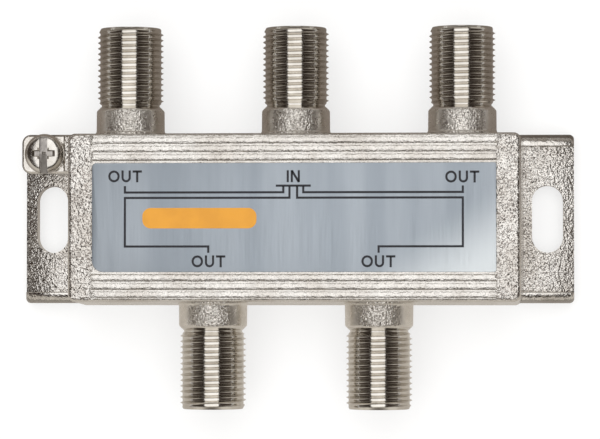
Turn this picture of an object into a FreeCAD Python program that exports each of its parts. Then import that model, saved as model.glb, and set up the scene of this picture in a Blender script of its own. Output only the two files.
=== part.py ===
import FreeCAD, Part
import math
import os
import re
import Sketcher

# Four-way coaxial splitter lying on its back: X along its length, Y along the ports, Z out of its front.
# The origin is on the back plane, in the middle of the length and of the span over the port tips.
# Every size is in millimetres and stands once in the list of driving sizes.

SIZES = (
    # die-cast body
    ("body_length", 65.2, "body at its back edge, along X"),
    ("body_width", 25.0, "body at its back edge, along Y"),
    ("body_thickness", 15.5, "back plane to front face"),
    ("body_draft", 2.2, "draft of the four side walls, degrees"),
    ("body_corner", 1.6, "outline corner radius at the back"),
    ("front_edge_radius", 0.6, "rounding round the front face"),
    ("side_wall", 2.5, "metal between chamber and the long sides, at the back"),
    ("end_wall", 2.8, "metal between chamber and the short sides, at the back"),
    ("cavity_corner", 1.5, "corner radius of the chamber"),
    ("front_wall", 2.2, "metal between chamber and front face"),
    # mounting ears and ground lug
    ("ear_reach", 7.15, "ear out from the end of the body"),
    ("ear_width", 24.3, "ears along Y"),
    ("ear_thickness", 2.6, "ear plate"),
    ("ear_corner", 0.7, "outer corner radius of the ears"),
    ("ear_rib_width", 1.6, "stiffening rib along each long edge"),
    ("ear_rib_rise", 1.0, "rib above the ear plate"),
    ("ear_rib_rounding", 0.55, "outer edge of the rib"),
    ("slot_width", 4.5, "screw slot across"),
    ("slot_length", 9.7, "screw slot end to end"),
    ("slot_inset", 3.8, "slot centre in from the end of the ear"),
    ("lug_height", 7.5, "ground lug above the back plane"),
    ("lug_width", 5.6, "ground lug along Y"),
    ("lug_corner", 1.25, "outline corner radius of the lug"),
    ("lug_edge", 0.3, "bevel round the lug's front"),
    ("screw_hole_spare", 0.9, "screw hole deeper than the screw"),
    ("wire_hole_bore", 2.6, "hole for the ground wire, diameter"),
    ("wire_hole_height", 4.1, "wire hole axis above the back plane"),
    ("screw_inset", 3.45, "ground screw axis in from the end of the ear"),
    # front face relief
    ("label_recess_length", 57.4, "recess for the nameplate, along X"),
    ("label_recess_width", 15.65, "recess for the nameplate, along Y"),
    ("label_recess_depth", 0.3, "recess below the front face"),
    ("label_corner", 1.7, "rounded lower left corner"),
    ("label_gap", 0.12, "play between the nameplate and its recess"),
    ("label_thickness", 0.2, "nameplate foil"),
    ("rib_length", 57.5, "front ribs, along X"),
    ("rib_pitch", 1.2, "front ribs, centre to centre"),
    ("rib_width", 1.06, "one front rib"),
    ("rib_rise", 0.17, "one front rib above its groove"),
    ("rib_margin", 0.1, "flat strip between recess and first rib"),
    # threaded ports
    ("port_pitch", 23.75, "port to port along X"),
    ("port_axis_height", 9.4, "port axis above the back plane"),
    ("port_reach", 27.2, "port tip from the middle of the body"),
    ("thread_diameter", 9.4, "crest diameter of the 3/8-32 thread"),
    ("thread_start", 16.4, "end of the undercut from the middle"),
    ("rim_diameter", 8.6, "port tip inside its chamfer"),
    ("rim_length", 0.85, "chamfer at the tip, along the port"),
    ("undercut_diameter", 8.3, "neck between thread and collar"),
    ("collar_diameter", 9.7, "cast collar"),
    ("collar_end", 15.4, "collar shoulder from the middle"),
    ("collar_slope", 0.6, "sloped shoulder, along the port"),
    ("port_bore", 5.6, "bore for the insulator"),
    ("port_seat", 11.4, "shoulder that stops the insulator"),
    ("port_throat", 4.2, "bore behind the shoulder"),
    # insulators and contacts
    ("fit_gap", 0.05, "radial play of a seated piece"),
    ("insulator_setback", 0.5, "insulator face below the port rim"),
    ("entry_hole", 1.3, "hole for the cable's centre wire"),
    ("entry_length", 2.0, "length of that hole"),
    ("contact_diameter", 2.0, "contact sleeve"),
    ("contact_inner_end", 9.3, "inner end of the sleeve from the middle"),
    ("contact_bore", 1.1, "bore of the contact sleeve"),
    ("contact_depth", 10.0, "depth of that bore"),
    ("contact_slit", 0.25, "slits that let the sleeve spring, across"),
    ("contact_slit_length", 6.0, "slits from the sleeve's mouth"),
    ("tail_width", 0.8, "solder tail across"),
    ("tail_thickness", 0.4, "solder tail"),
    ("tail_lap", 2.2, "solder tail over the board"),
    # board and what it carries
    ("board_end_gap", 1.5, "circuit board to chamber wall, along X"),
    ("board_side_gap", 1.1, "circuit board to chamber wall, along Y"),
    ("board_thickness", 1.2, "circuit board"),
    ("post_width", 2.6, "square cast post that the board is bonded to"),
    ("post_inset", 2.4, "middle of the post in from the board's edges"),
    ("core_length", 4.4, "two-hole ferrite core along X"),
    ("core_width", 3.0, "ferrite core along its holes"),
    ("core_height", 2.6, "ferrite core"),
    ("core_hole", 1.1, "each hole of the core"),
    ("core_hole_spacing", 2.1, "hole to hole"),
    ("matching_core_place", 2.2, "matching core above the middle, along Y"),
    ("first_core_place", 4.4, "first divider core below the middle, along Y"),
    ("side_core_place", 17.8, "left and right divider cores from the middle, along X"),
    ("winding_wire", 0.68, "bundle of enamelled wire"),
    ("chip_length", 2.0, "chip part along X"),
    ("chip_width", 1.25, "chip part along Y"),
    ("resistor_height", 0.5, "chip resistor"),
    ("capacitor_height", 0.9, "chip capacitor"),
    # back cover
    ("cover_thickness", 0.5, "sheet that closes the chamber"),
    ("cover_lap", 0.9, "ledge under the cover's edge"),
    ("cover_gap", 0.05, "play round the cover"),
    # ground screw and its washer
    ("screw_diameter", 3.0, "ground screw shank"),
    ("screw_length", 4.6, "shank below the lug's face, screwed home"),
    ("screw_head", 5.7, "pan head across"),
    ("screw_head_height", 2.1, "pan head"),
    ("screw_head_rim", 1.2, "straight side of the head"),
    ("screw_flat", 2.9, "flat top of the head, across"),
    ("screw_point", 0.4, "chamfer at the end of the shank"),
    ("driver_slot", 1.15, "straight driver slot across"),
    ("driver_slot_depth", 0.9, "straight driver slot"),
    ("driver_cross", 3.9, "cross recess over its arms"),
    ("driver_cross_width", 1.0, "one arm of the cross"),
    ("driver_cross_depth", 1.5, "cross recess"),
    ("washer_diameter", 5.1, "captive washer"),
    ("washer_thickness", 0.6, "captive washer"),
    ("washer_gap", 0.08, "radial play of the washer on the shank"),
    # cuts
    ("cut_over", 1.0, "how far a cut runs past the surface that it opens"),
)

# Sizes that follow from the ones above
FOLLOWING = (
    ("cavity_length", "body_length - 2 * end_wall", "chamber for the board, along X"),
    ("cavity_width", "body_width - 2 * side_wall", "chamber for the board, along Y"),
    ("ear_span", "body_length + 2 * ear_reach", "over both ears, along X"),
    ("slot_spacing", "ear_span - 2 * slot_inset", "slot centre to slot centre"),
    ("board_length", "cavity_length - 2 * board_end_gap", "circuit board along X"),
    ("board_width", "cavity_width - 2 * board_side_gap", "circuit board along Y"),
)

doc = FreeCAD.newDocument("CoaxialSplitter")
sizes = doc.addObject("Spreadsheet::Sheet", "Sizes")
for row, (alias, value, note) in enumerate(SIZES + FOLLOWING, start=1):
    sizes.set(f"A{row}", note)
    sizes.set(f"B{row}", f"={value}")
    sizes.setAlias(f"B{row}", alias)
doc.recompute()

nodes = []


def formula(text):
    """The text with each size's name turned into a reference to its value."""
    return re.sub(r"[a-z]+(?:_[a-z]+)+", lambda word: f"Sizes.{word.group()}", text)


def amount(text):
    """The number that a formula gives now."""
    return float(sizes.evalExpression(formula(text)))


def bind(item, **properties):
    """Tie properties to formulas; two underscores in a name stand for a dot."""
    for name, text in properties.items():
        item.setExpression(name.replace("__", "."), formula(text))


def new_body(label):
    """An empty body that becomes the node of that name."""
    body = doc.addObject("PartDesign::Body", label)
    body.Label = label
    nodes.append(body)
    return body


def new_sketch(body, name, role="XY_Plane", **offset):
    """A sketch on one of the body's own origin planes, moved by formulas."""
    sketch = body.newObject("Sketcher::SketchObject", f"{body.Name}_{name}")
    plane = next(p for p in body.Origin.OriginFeatures if p.Role == role)
    sketch.AttachmentSupport = (plane, [""])
    sketch.MapMode = "FlatFace"
    for axis, text in offset.items():
        sketch.setExpression(f"AttachmentOffset.Base.{axis}", formula(text))
    doc.recompute()
    return sketch


def tie(sketch, kind, *place, text):
    """A driving constraint whose value follows a formula."""
    index = sketch.addConstraint(Sketcher.Constraint(kind, *place, amount(text)))
    name = f"{kind}_{index}"
    sketch.renameConstraint(index, name)
    sketch.setExpression(f"Constraints.{name}", formula(text))


def pin_point(sketch, geometry, end, across, along):
    """Hold one end of a line at a place given by two formulas."""
    for kind, text in (("DistanceX", across), ("DistanceY", along)):
        if text == "0":
            axis = -2 if kind == "DistanceX" else -1
            sketch.addConstraint(Sketcher.Constraint("PointOnObject", geometry, end, axis))
        else:
            tie(sketch, kind, -1, 1, geometry, end, text=text)


def rounded(corners):
    """Each corner as one point, or as the two ends of its arc where it has a radius."""
    points = []
    count = len(corners)
    for place, corner in enumerate(corners):
        if len(corner) == 2:
            points.append((corner[0], corner[1], None))
            continue
        across, along, radius = corner
        here = (amount(across), amount(along))
        ends = []
        for other in (corners[place - 1], corners[(place + 1) % count]):
            step = (amount(other[0]) - here[0], amount(other[1]) - here[1])
            if abs(step[0]) > abs(step[1]):
                sign = "+" if step[0] > 0 else "-"
                ends.append((f"({across}) {sign} ({radius})", along))
            else:
                sign = "+" if step[1] > 0 else "-"
                ends.append((across, f"({along}) {sign} ({radius})"))
        points.append((*ends[0], None))
        points.append((*ends[1], radius))
    return points


def outline(sketch, corners):
    """A closed outline of (x, y) or (x, y, radius) corners in formulas, a radius only between square sides."""
    points = rounded(corners)
    places = [FreeCAD.Vector(amount(x), amount(y), 0) for x, y, _ in points]
    edges = []
    for index, (across, along, radius) in enumerate(points):
        start, stop = places[index - 1], places[index]
        if radius is None:
            edges.append(sketch.addGeometry(Part.LineSegment(start, stop)))
            continue
        size = amount(radius)
        middle = (start + stop) * 0.5
        chord = stop - start
        corner = FreeCAD.Vector(start.x, stop.y, 0)
        before = places[index - 2]
        if abs((start - before).x) > abs((start - before).y):
            corner = FreeCAD.Vector(stop.x, start.y, 0)
        inward = (middle - corner).normalize()
        centre = middle + inward * math.sqrt(size * size - chord.Length ** 2 / 4)
        on_arc = centre + (corner - centre).normalize() * size
        anticlockwise = (on_arc - start).cross(chord).z > 0
        arc = Part.Arc(start, on_arc, stop) if anticlockwise else Part.Arc(stop, on_arc, start)
        edges.append(sketch.addGeometry(arc))
    ends = []
    for edge in edges:
        item = sketch.Geometry[edge]
        place = places[edges.index(edge) - 1]
        first = 1 if (item.StartPoint - place).Length < 1e-6 else 2
        ends.append((first, 3 - first))
    for index, edge in enumerate(edges):
        follower = (index + 1) % len(edges)
        sketch.addConstraint(
            Sketcher.Constraint("Coincident", edge, ends[index][1], edges[follower], ends[follower][0])
        )
    for index, (across, along, radius) in enumerate(points):
        if radius is not None:
            tie(sketch, "Radius", edges[index], text=radius)
        pin_point(sketch, edges[index], ends[index][1], across, along)


def block(sketch, left, right, low, high, radius=None):
    """A rectangle between four formulas, its corners rounded if a radius is given."""
    corners = [(left, low), (right, low), (right, high), (left, high)]
    outline(sketch, [(*c, radius) for c in corners] if radius else corners)


def centred(sketch, length, width, radius=None):
    """A rectangle about the sketch's origin."""
    block(sketch, f"-({length}) / 2", f"({length}) / 2", f"-({width}) / 2", f"({width}) / 2", radius)


def disc(sketch, across, along, diameter):
    """A circle whose centre and diameter follow formulas."""
    centre = FreeCAD.Vector(amount(across), amount(along), 0)
    index = sketch.addGeometry(Part.Circle(centre, FreeCAD.Vector(0, 0, 1), amount(diameter) / 2))
    tie(sketch, "Diameter", index, text=diameter)
    pin_point(sketch, index, 3, across, along)


def add(body, kind, name, sketch=None, **properties):
    """A feature of the body; text that isn't an option is a formula."""
    item = body.newObject(f"PartDesign::{kind}", f"{body.Name}_{name}")
    if sketch is not None:
        item.Profile = sketch
    for key, value in properties.items():
        if isinstance(value, str):
            item.setExpression(key, formula(value))
        else:
            setattr(item, key, value)
    if kind in ("Pad", "Pocket", "Revolution", "Groove"):
        sketch.Visibility = False
    body.Tip = item
    doc.recompute()
    return item


def removes(body, kind, name, sketch, **properties):
    """A cutting feature that must take some metal away."""
    before = body.Shape.Volume
    item = add(body, kind, name, sketch, **properties)
    if not body.Shape.Volume < before - 1e-6:
        raise ValueError(f"{name} cuts nothing from {body.Label}")
    return item


def turned(body, kind, name, corners, **offset):
    """A profile turned about the Y direction through the sketch's origin."""
    sketch = new_sketch(body, name + "_profile", **offset)
    outline(sketch, corners)
    maker = removes if kind == "Groove" else add
    return maker(body, kind, name, sketch, ReferenceAxis=(sketch, ["V_Axis"]), Angle=360.0), sketch


def row_of(body, name, features, sketch, length, count):
    """Copies of features along X."""
    return add(
        body,
        "LinearPattern",
        name,
        Originals=features,
        Direction=(sketch, ["H_Axis"]),
        Length=length,
        Occurrences=count,
    )


def edges_where(shape, test):
    """Names of the edges whose every sampled point passes the test."""
    names = []
    for number, edge in enumerate(shape.Edges, start=1):
        if all(test(point) for point in edge.discretize(5)):
            names.append(f"Edge{number}")
    return names


def dress(body, kind, name, test, **values):
    """Fillet or chamfer the edges that pass the test."""
    base = body.Tip
    names = edges_where(base.Shape, test)
    if not names:
        raise ValueError(f"{name} finds no edge")
    return add(body, kind, name, Base=(base, names), **values)


def soften(body, name, radius, test):
    """Round the edges that pass the test."""
    return dress(body, "Fillet", name, test, Radius=radius)


def bevel(body, name, size, test):
    """Bevel the edges that pass the test."""
    return dress(body, "Chamfer", name, test, Size=size)


def near(number, text):
    """Whether a number is the one that the formula gives."""
    return abs(number - amount(text)) < 1e-4


# Housing: one zinc die casting with its five ports, two ears and the ground lug
housing = new_body("housing")
sketch = new_sketch(housing, "ear_outline")
centred(sketch, "ear_span", "ear_width", "ear_corner")
add(housing, "Pad", "ear_plate", sketch, Length="ear_thickness")

sketch = new_sketch(housing, "ear_rib_outline")
for side in ("+", "-"):
    inner, outer = f"{side}(ear_width / 2 - ear_rib_width)", f"{side}(ear_width / 2)"
    outline(
        sketch,
        [
            ("-ear_span / 2", inner),
            ("ear_span / 2", inner),
            ("ear_span / 2", outer, "ear_corner"),
            ("-ear_span / 2", outer, "ear_corner"),
        ],
    )
add(housing, "Pad", "ear_ribs", sketch, Length="ear_thickness + ear_rib_rise")
RIB_INNER = amount("ear_width / 2 - ear_rib_width") + 1e-4


def on_rib_rim(p):
    """Whether a point is on an ear rib's top edge, its inner long edge left out."""
    if not near(p.z, "ear_thickness + ear_rib_rise"):
        return False
    return abs(p.y) > RIB_INNER or near(abs(p.x), "ear_span / 2")


soften(housing, "ear_rib_edges", "ear_rib_rounding", on_rib_rim)

LUG_LEFT = "-ear_span / 2"
LUG_TOP = "ear_width / 2"
LUG_ROOT = "-body_length / 2 + 2 * body_corner"
SCREW_X = "-ear_span / 2 + screw_inset"
SCREW_Y = "ear_width / 2 - lug_width / 2"
sketch = new_sketch(housing, "lug_outline")
outline(
    sketch,
    [
        (LUG_LEFT, f"{LUG_TOP} - lug_width", "lug_corner"),
        (LUG_ROOT, f"{LUG_TOP} - lug_width"),
        (LUG_ROOT, LUG_TOP),
        (LUG_LEFT, LUG_TOP, "lug_corner"),
    ],
)
add(housing, "Pad", "lug", sketch, Length="lug_height")
bevel(
    housing,
    "lug_edges",
    "lug_edge",
    lambda p: near(p.z, "lug_height") and p.x < amount(LUG_ROOT) - 1e-4,
)

sketch = new_sketch(housing, "block_outline")
centred(sketch, "body_length", "body_width", "body_corner")
add(housing, "Pad", "block", sketch, Length="body_thickness", TaperAngle="-body_draft")
soften(housing, "front_edges", "front_edge_radius", lambda p: near(p.z, "body_thickness"))

# Each port: cast collar with a sloped shoulder, undercut, threaded length and chamfered tip
ROOT = "cavity_width / 2 + front_wall / 2"


def port_profile(side):
    """The outside of a port from the wall to its tip; side is + or - for the way it points."""
    rows = (
        ("0", ROOT),
        ("collar_diameter / 2", ROOT),
        ("collar_diameter / 2", "collar_end - collar_slope"),
        ("undercut_diameter / 2", "collar_end"),
        ("undercut_diameter / 2", "thread_start - (thread_diameter - undercut_diameter) / 2"),
        ("thread_diameter / 2", "thread_start"),
        ("thread_diameter / 2", "port_reach - rim_length"),
        ("rim_diameter / 2", "port_reach"),
        ("0", "port_reach"),
    )
    return [(across, f"{side}({along})") for across, along in rows]


def bore_profile(side):
    """The stepped bore of a port, from past its tip into the chamber."""
    rows = (
        ("0", "port_reach + cut_over"),
        ("port_bore / 2", "port_reach + cut_over"),
        ("port_bore / 2", "port_seat"),
        ("port_throat / 2", "port_seat"),
        ("port_throat / 2", "cavity_width / 2 - cut_over"),
        ("0", "cavity_width / 2 - cut_over"),
    )
    return [(across, f"{side}({along})") for across, along in rows]


PORT_ROWS = (("upper", "+", "-port_pitch", 3), ("lower", "-", "-port_pitch / 2", 2))
for row_name, side, first, count in PORT_ROWS:
    shell, sketch = turned(
        housing, "Revolution", f"{row_name}_port", port_profile(side), x=first, z="port_axis_height"
    )
    row_of(housing, f"{row_name}_ports", [shell], sketch, f"port_pitch * {count - 1}", count)

# Chamber behind the front wall, with the ledge for the cover and four posts for the board
sketch = new_sketch(housing, "chamber_outline")
centred(sketch, "cavity_length", "cavity_width", "cavity_corner")
removes(housing, "Pocket", "chamber", sketch, Length="body_thickness - front_wall", Reversed=True)
sketch = new_sketch(housing, "ledge_outline")
centred(sketch, "cavity_length + 2 * cover_lap", "cavity_width + 2 * cover_lap", "cavity_corner")
removes(housing, "Pocket", "ledge", sketch, Length="cover_thickness", Reversed=True)

BOARD_LOW = "port_axis_height + tail_thickness / 2"
BOARD_HIGH = f"{BOARD_LOW} + board_thickness"
sketch = new_sketch(housing, "post_squares", z=BOARD_HIGH)
for way_x in ("-", "+"):
    for way_y in ("-", "+"):
        post_x = f"{way_x}(board_length / 2 - post_inset)"
        post_y = f"{way_y}(board_width / 2 - post_inset)"
        block(
            sketch,
            f"{post_x} - post_width / 2",
            f"{post_x} + post_width / 2",
            f"{post_y} - post_width / 2",
            f"{post_y} + post_width / 2",
        )
add(housing, "Pad", "posts", sketch, Length=f"body_thickness - front_wall / 2 - ({BOARD_HIGH})")

for row_name, side, first, count in PORT_ROWS:
    bore, sketch = turned(
        housing, "Groove", f"{row_name}_bore", bore_profile(side), x=first, z="port_axis_height"
    )
    row_of(housing, f"{row_name}_bores", [bore], sketch, f"port_pitch * {count - 1}", count)

# Screw slots through the ears
sketch = new_sketch(housing, "slot_ends")
for way_x in ("-", "+"):
    for way_y in ("-", "+"):
        disc(sketch, f"{way_x}(slot_spacing / 2)", f"{way_y}((slot_length - slot_width) / 2)", "slot_width")
removes(housing, "Pocket", "slot_end_cuts", sketch, Length="ear_thickness + ear_rib_rise", Reversed=True)
sketch = new_sketch(housing, "slot_middles")
for way_x in ("-", "+"):
    middle = f"{way_x}(slot_spacing / 2)"
    block(
        sketch,
        f"{middle} - slot_width / 2",
        f"{middle} + slot_width / 2",
        "-(slot_length - slot_width) / 2",
        "(slot_length - slot_width) / 2",
    )
removes(housing, "Pocket", "slot_middle_cuts", sketch, Length="ear_thickness + ear_rib_rise", Reversed=True)

# Ground lug: the screw's hole from the front and the wire's hole along Y
sketch = new_sketch(housing, "screw_hole_circle", z="lug_height")
disc(sketch, SCREW_X, SCREW_Y, "screw_diameter + 2 * fit_gap")
removes(housing, "Pocket", "screw_hole", sketch, Length="screw_length + screw_hole_spare")
sketch = new_sketch(housing, "wire_hole_circle", role="XZ_Plane", z=f"-({LUG_TOP}) - cut_over")
disc(sketch, SCREW_X, "wire_hole_height", "wire_hole_bore")
removes(housing, "Pocket", "wire_hole", sketch, Length="lug_width + 2 * cut_over", Reversed=True)

# Front face: nameplate recess between two bands of half-round ribs
RECESS_X = "label_recess_length / 2"
RECESS_Y = "label_recess_width / 2"
sketch = new_sketch(housing, "recess_outline", z="body_thickness")
outline(
    sketch,
    [
        (f"-{RECESS_X}", f"-{RECESS_Y}", "label_corner"),
        (RECESS_X, f"-{RECESS_Y}"),
        (RECESS_X, RECESS_Y),
        (f"-{RECESS_X}", RECESS_Y),
    ],
)
removes(housing, "Pocket", "label_recess", sketch, Length="label_recess_depth")

RIB_COUNT = 3
BAND_LOW = f"{RECESS_Y} + rib_margin"
BAND_HIGH = f"{BAND_LOW} + {RIB_COUNT} * rib_pitch - (rib_pitch - rib_width) / 2"
sketch = new_sketch(housing, "band_outline", z="body_thickness")
block(sketch, "-rib_length / 2", "rib_length / 2", BAND_LOW, BAND_HIGH)
block(sketch, "-rib_length / 2", "rib_length / 2", f"-({BAND_HIGH})", f"-({BAND_LOW})")
removes(housing, "Pocket", "rib_bands", sketch, Length="rib_rise")

RIB_ROOT = "body_thickness - rib_rise"
RIB_RADIUS = "(rib_width ^ 2 / 4 + rib_rise ^ 2) / (2 * rib_rise)"


def half_round(sketch, middle):
    """A segment of a circle that stands on the floor of the band."""
    half, low = amount("rib_width / 2"), amount(RIB_ROOT)
    centre, rise = amount(middle), amount("rib_rise")
    left = FreeCAD.Vector(centre - half, low, 0)
    right = FreeCAD.Vector(centre + half, low, 0)
    crown = sketch.addGeometry(Part.Arc(right, FreeCAD.Vector(centre, low + rise, 0), left))
    floor = sketch.addGeometry(Part.LineSegment(left, right))
    sketch.addConstraint(Sketcher.Constraint("Coincident", crown, 1, floor, 2))
    sketch.addConstraint(Sketcher.Constraint("Coincident", crown, 2, floor, 1))
    pin_point(sketch, floor, 1, f"({middle}) - rib_width / 2", RIB_ROOT)
    pin_point(sketch, floor, 2, f"({middle}) + rib_width / 2", RIB_ROOT)
    tie(sketch, "DistanceY", -1, 1, crown, 3, text=f"{RIB_ROOT} + rib_rise - {RIB_RADIUS}")


sketch = new_sketch(housing, "rib_section", role="YZ_Plane")
for side in ("+", "-"):
    for rib in range(RIB_COUNT):
        half_round(sketch, f"{side}({BAND_LOW} + rib_pitch * ({rib} + 0.5))")
add(housing, "Pad", "front_ribs", sketch, Length="rib_length - 2 * rib_margin", Midplane=True)

# Nameplate: thin foil in its recess
label = new_body("label")
PLATE_X = f"{RECESS_X} - label_gap"
PLATE_Y = f"{RECESS_Y} - label_gap"
sketch = new_sketch(label, "outline", z="body_thickness - label_recess_depth")
outline(
    sketch,
    [
        (f"-({PLATE_X})", f"-({PLATE_Y})", "label_corner"),
        (PLATE_X, f"-({PLATE_Y})"),
        (PLATE_X, PLATE_Y),
        (f"-({PLATE_X})", PLATE_Y),
    ],
)
add(label, "Pad", "foil", sketch, Length="label_thickness")

# Back cover: a tinned sheet on the ledge, flush with the back plane
cover = new_body("back_cover")
sketch = new_sketch(cover, "outline")
centred(
    sketch,
    "cavity_length + 2 * cover_lap - 2 * cover_gap",
    "cavity_width + 2 * cover_lap - 2 * cover_gap",
    "cavity_corner",
)
add(cover, "Pad", "sheet", sketch, Length="cover_thickness")

# Circuit board against the posts
board = new_body("circuit_board")
sketch = new_sketch(board, "outline", z=BOARD_LOW)
centred(sketch, "board_length", "board_width")
add(board, "Pad", "laminate", sketch, Length="board_thickness")


def place(item, across, along, height, turn=0.0):
    """Put a node where the formulas say, turned about the vertical."""
    item.Placement.Rotation = FreeCAD.Rotation(FreeCAD.Vector(0, 0, 1), turn)
    bind(item, Placement__Base__x=across, Placement__Base__y=along, Placement__Base__z=height)
    doc.recompute()


# Insulator and contact of each port, drawn pointing along +Y and turned for the lower ports
PORTS = (
    ("output_1", "-port_pitch", 0.0),
    ("input", "0", 0.0),
    ("output_2", "port_pitch", 0.0),
    ("output_3", "-port_pitch / 2", 180.0),
    ("output_4", "port_pitch / 2", 180.0),
)
FACE = "port_reach - insulator_setback"
CHAMBER_END = f"{FACE} - entry_length"


def insulator(name, across, turn):
    """A moulded sleeve against the shoulder of the bore; the contact goes in from the chamber."""
    body = new_body(f"{name}_insulator")
    turned(
        body,
        "Revolution",
        "sleeve",
        [
            ("contact_diameter / 2 + fit_gap", "port_seat"),
            ("port_bore / 2 - fit_gap", "port_seat"),
            ("port_bore / 2 - fit_gap", FACE),
            ("entry_hole / 2", FACE),
            ("entry_hole / 2", CHAMBER_END),
            ("contact_diameter / 2 + fit_gap", CHAMBER_END),
        ],
    )
    place(body, across, "0", "port_axis_height", turn)


def contact(name, across, turn):
    """A slit sleeve that grips the centre wire, with a flat tail on the board."""
    body = new_body(f"{name}_contact")
    tip = f"{CHAMBER_END} - fit_gap"
    turned(
        body,
        "Revolution",
        "sleeve",
        [
            ("0", "contact_inner_end"),
            ("contact_diameter / 2", "contact_inner_end"),
            ("contact_diameter / 2", tip),
            ("contact_bore / 2", tip),
            ("contact_bore / 2", f"{tip} - contact_depth"),
            ("0", f"{tip} - contact_depth"),
        ],
    )
    slits = new_sketch(body, "slit_outline", z="-contact_diameter")
    slit_low = f"{tip} - contact_slit_length"
    block(slits, "-contact_slit / 2", "contact_slit / 2", slit_low, f"{tip} + cut_over")
    removes(body, "Pocket", "slits", slits, Length="2 * contact_diameter", Reversed=True)
    tail = new_sketch(body, "tail_outline", z="-tail_thickness / 2")
    tail_end = "board_width / 2 - tail_lap"
    block(tail, "-tail_width / 2", "tail_width / 2", tail_end, "contact_inner_end + tail_width")
    add(body, "Pad", "tail", tail, Length="tail_thickness")
    place(body, across, "0", "port_axis_height", turn)


for name, across, turn in PORTS:
    insulator(name, across, turn)
    contact(name, across, turn)

# Ferrite cores under the board: one matches the input, three divide the signal
CORES = (
    ("matching", "0", "matching_core_place"),
    ("first_divider", "0", "-first_core_place"),
    ("left_divider", "-side_core_place", "0"),
    ("right_divider", "side_core_place", "0"),
)


def ferrite_core(name, across, along):
    """A two-hole core whose flat top is bonded to the board."""
    body = new_body(f"{name}_core")
    sketch = new_sketch(body, "outline", z="-core_height")
    centred(sketch, "core_length", "core_width")
    add(body, "Pad", "ferrite", sketch, Length="core_height")
    holes = new_sketch(body, "holes", role="XZ_Plane")
    for way in ("-", "+"):
        disc(holes, f"{way}(core_hole_spacing / 2)", "-core_height / 2", "core_hole")
    removes(body, "Pocket", "hole_cuts", holes, Length="core_width + 2 * cut_over", Midplane=True)
    place(body, across, along, BOARD_LOW)


def winding(name, across, along):
    """A bundle of wire that runs through both holes and closes round the middle web."""
    body = new_body(f"{name}_winding")
    sketch = new_sketch(body, "loop", z="-core_height / 2 - winding_wire / 2")
    length = "core_width + 2 * winding_wire + 2 * fit_gap"
    centred(sketch, "core_hole_spacing + winding_wire", length)
    centred(sketch, "core_hole_spacing - winding_wire", "core_width + 2 * fit_gap")
    add(body, "Pad", "bundle", sketch, Length="winding_wire")
    place(body, across, along, BOARD_LOW)


for name, across, along in CORES:
    ferrite_core(name, across, along)
    winding(name, across, along)


def chips(label, height, places):
    """Chip parts of one kind on the board, as one node of separate solids."""
    boxes = []
    for number, (across, along) in enumerate(places, start=1):
        box = doc.addObject("Part::Box", f"{label}_{number}")
        bind(box, Length="chip_length", Width="chip_width", Height=height)
        bind(
            box,
            Placement__Base__x=f"({across}) - chip_length / 2",
            Placement__Base__y=f"({along}) - chip_width / 2",
            Placement__Base__z=f"{BOARD_LOW} - {height}",
        )
        boxes.append(box)
    group = doc.addObject("Part::Compound", label)
    group.Label = label
    group.Links = boxes
    nodes.append(group)


CHIP_ROW = "core_width / 2 + 2 * chip_width"
chips(
    "balance_resistors",
    "resistor_height",
    (
        ("core_length", "-first_core_place"),
        ("-side_core_place", f"-({CHIP_ROW})"),
        ("side_core_place", f"-({CHIP_ROW})"),
    ),
)
chips(
    "blocking_capacitors",
    "capacitor_height",
    (
        ("-port_pitch", CHIP_ROW),
        ("-core_length", "matching_core_place"),
        ("port_pitch", CHIP_ROW),
        ("-port_pitch / 2 + core_length", f"-({CHIP_ROW})"),
        ("port_pitch / 2 - core_length", f"-({CHIP_ROW})"),
    ),
)

# Captive washer between the lug's face and the screw's head
washer = new_body("ground_washer")
sketch = new_sketch(washer, "ring")
disc(sketch, "0", "0", "washer_diameter")
disc(sketch, "0", "0", "screw_diameter + 2 * washer_gap")
add(washer, "Pad", "plate", sketch, Length="washer_thickness")
place(washer, SCREW_X, SCREW_Y, "lug_height")

# Ground screw: pan head with a straight slot across a cross recess, shank down to the wire hole
screw = new_body("ground_screw")
sketch = new_sketch(screw, "profile", role="XZ_Plane")
HEAD_TOP = "washer_thickness + screw_head_height"
outline(
    sketch,
    [
        ("0", "-screw_length"),
        ("screw_diameter / 2 - screw_point", "-screw_length"),
        ("screw_diameter / 2", "-screw_length + screw_point"),
        ("screw_diameter / 2", "washer_thickness"),
        ("screw_head / 2", "washer_thickness"),
        ("screw_head / 2", "washer_thickness + screw_head_rim"),
        ("screw_flat / 2", HEAD_TOP),
        ("0", HEAD_TOP),
    ],
)
add(screw, "Revolution", "blank", sketch, ReferenceAxis=(sketch, ["V_Axis"]), Angle=360.0)
for name, length, width, depth in (
    ("straight_slot", "driver_slot", "screw_head + cut_over", "driver_slot_depth"),
    ("cross_arm", "driver_cross", "driver_cross_width", "driver_cross_depth"),
    ("cross_arm_along", "driver_cross_width", "driver_cross", "driver_cross_depth"),
):
    sketch = new_sketch(screw, f"{name}_outline", z=HEAD_TOP)
    centred(sketch, length, width)
    removes(screw, "Pocket", name, sketch, Length=depth)
place(screw, SCREW_X, SCREW_Y, "lug_height")

doc.recompute()
faults = [o.Label for o in doc.Objects if "Invalid" in o.State or "Error" in o.State]
for item in nodes:
    if item.Shape.isNull() or not item.Shape.isValid():
        faults.append(item.Label)
if faults:
    raise ValueError("unsound: " + ", ".join(faults))

os.makedirs("parts", exist_ok=True)
for item in nodes:
    item.Shape.exportStep(os.path.join("parts", item.Label + ".step"))
    box = item.Shape.BoundBox
    print(
        f"{item.Label}: {len(item.Shape.Solids)} solid, {item.Shape.Volume:.2f} mm3, "
        f"x {box.XMin:.2f} {box.XMax:.2f}, y {box.YMin:.2f} {box.YMax:.2f}, z {box.ZMin:.2f} {box.ZMax:.2f}"
    )
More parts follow.
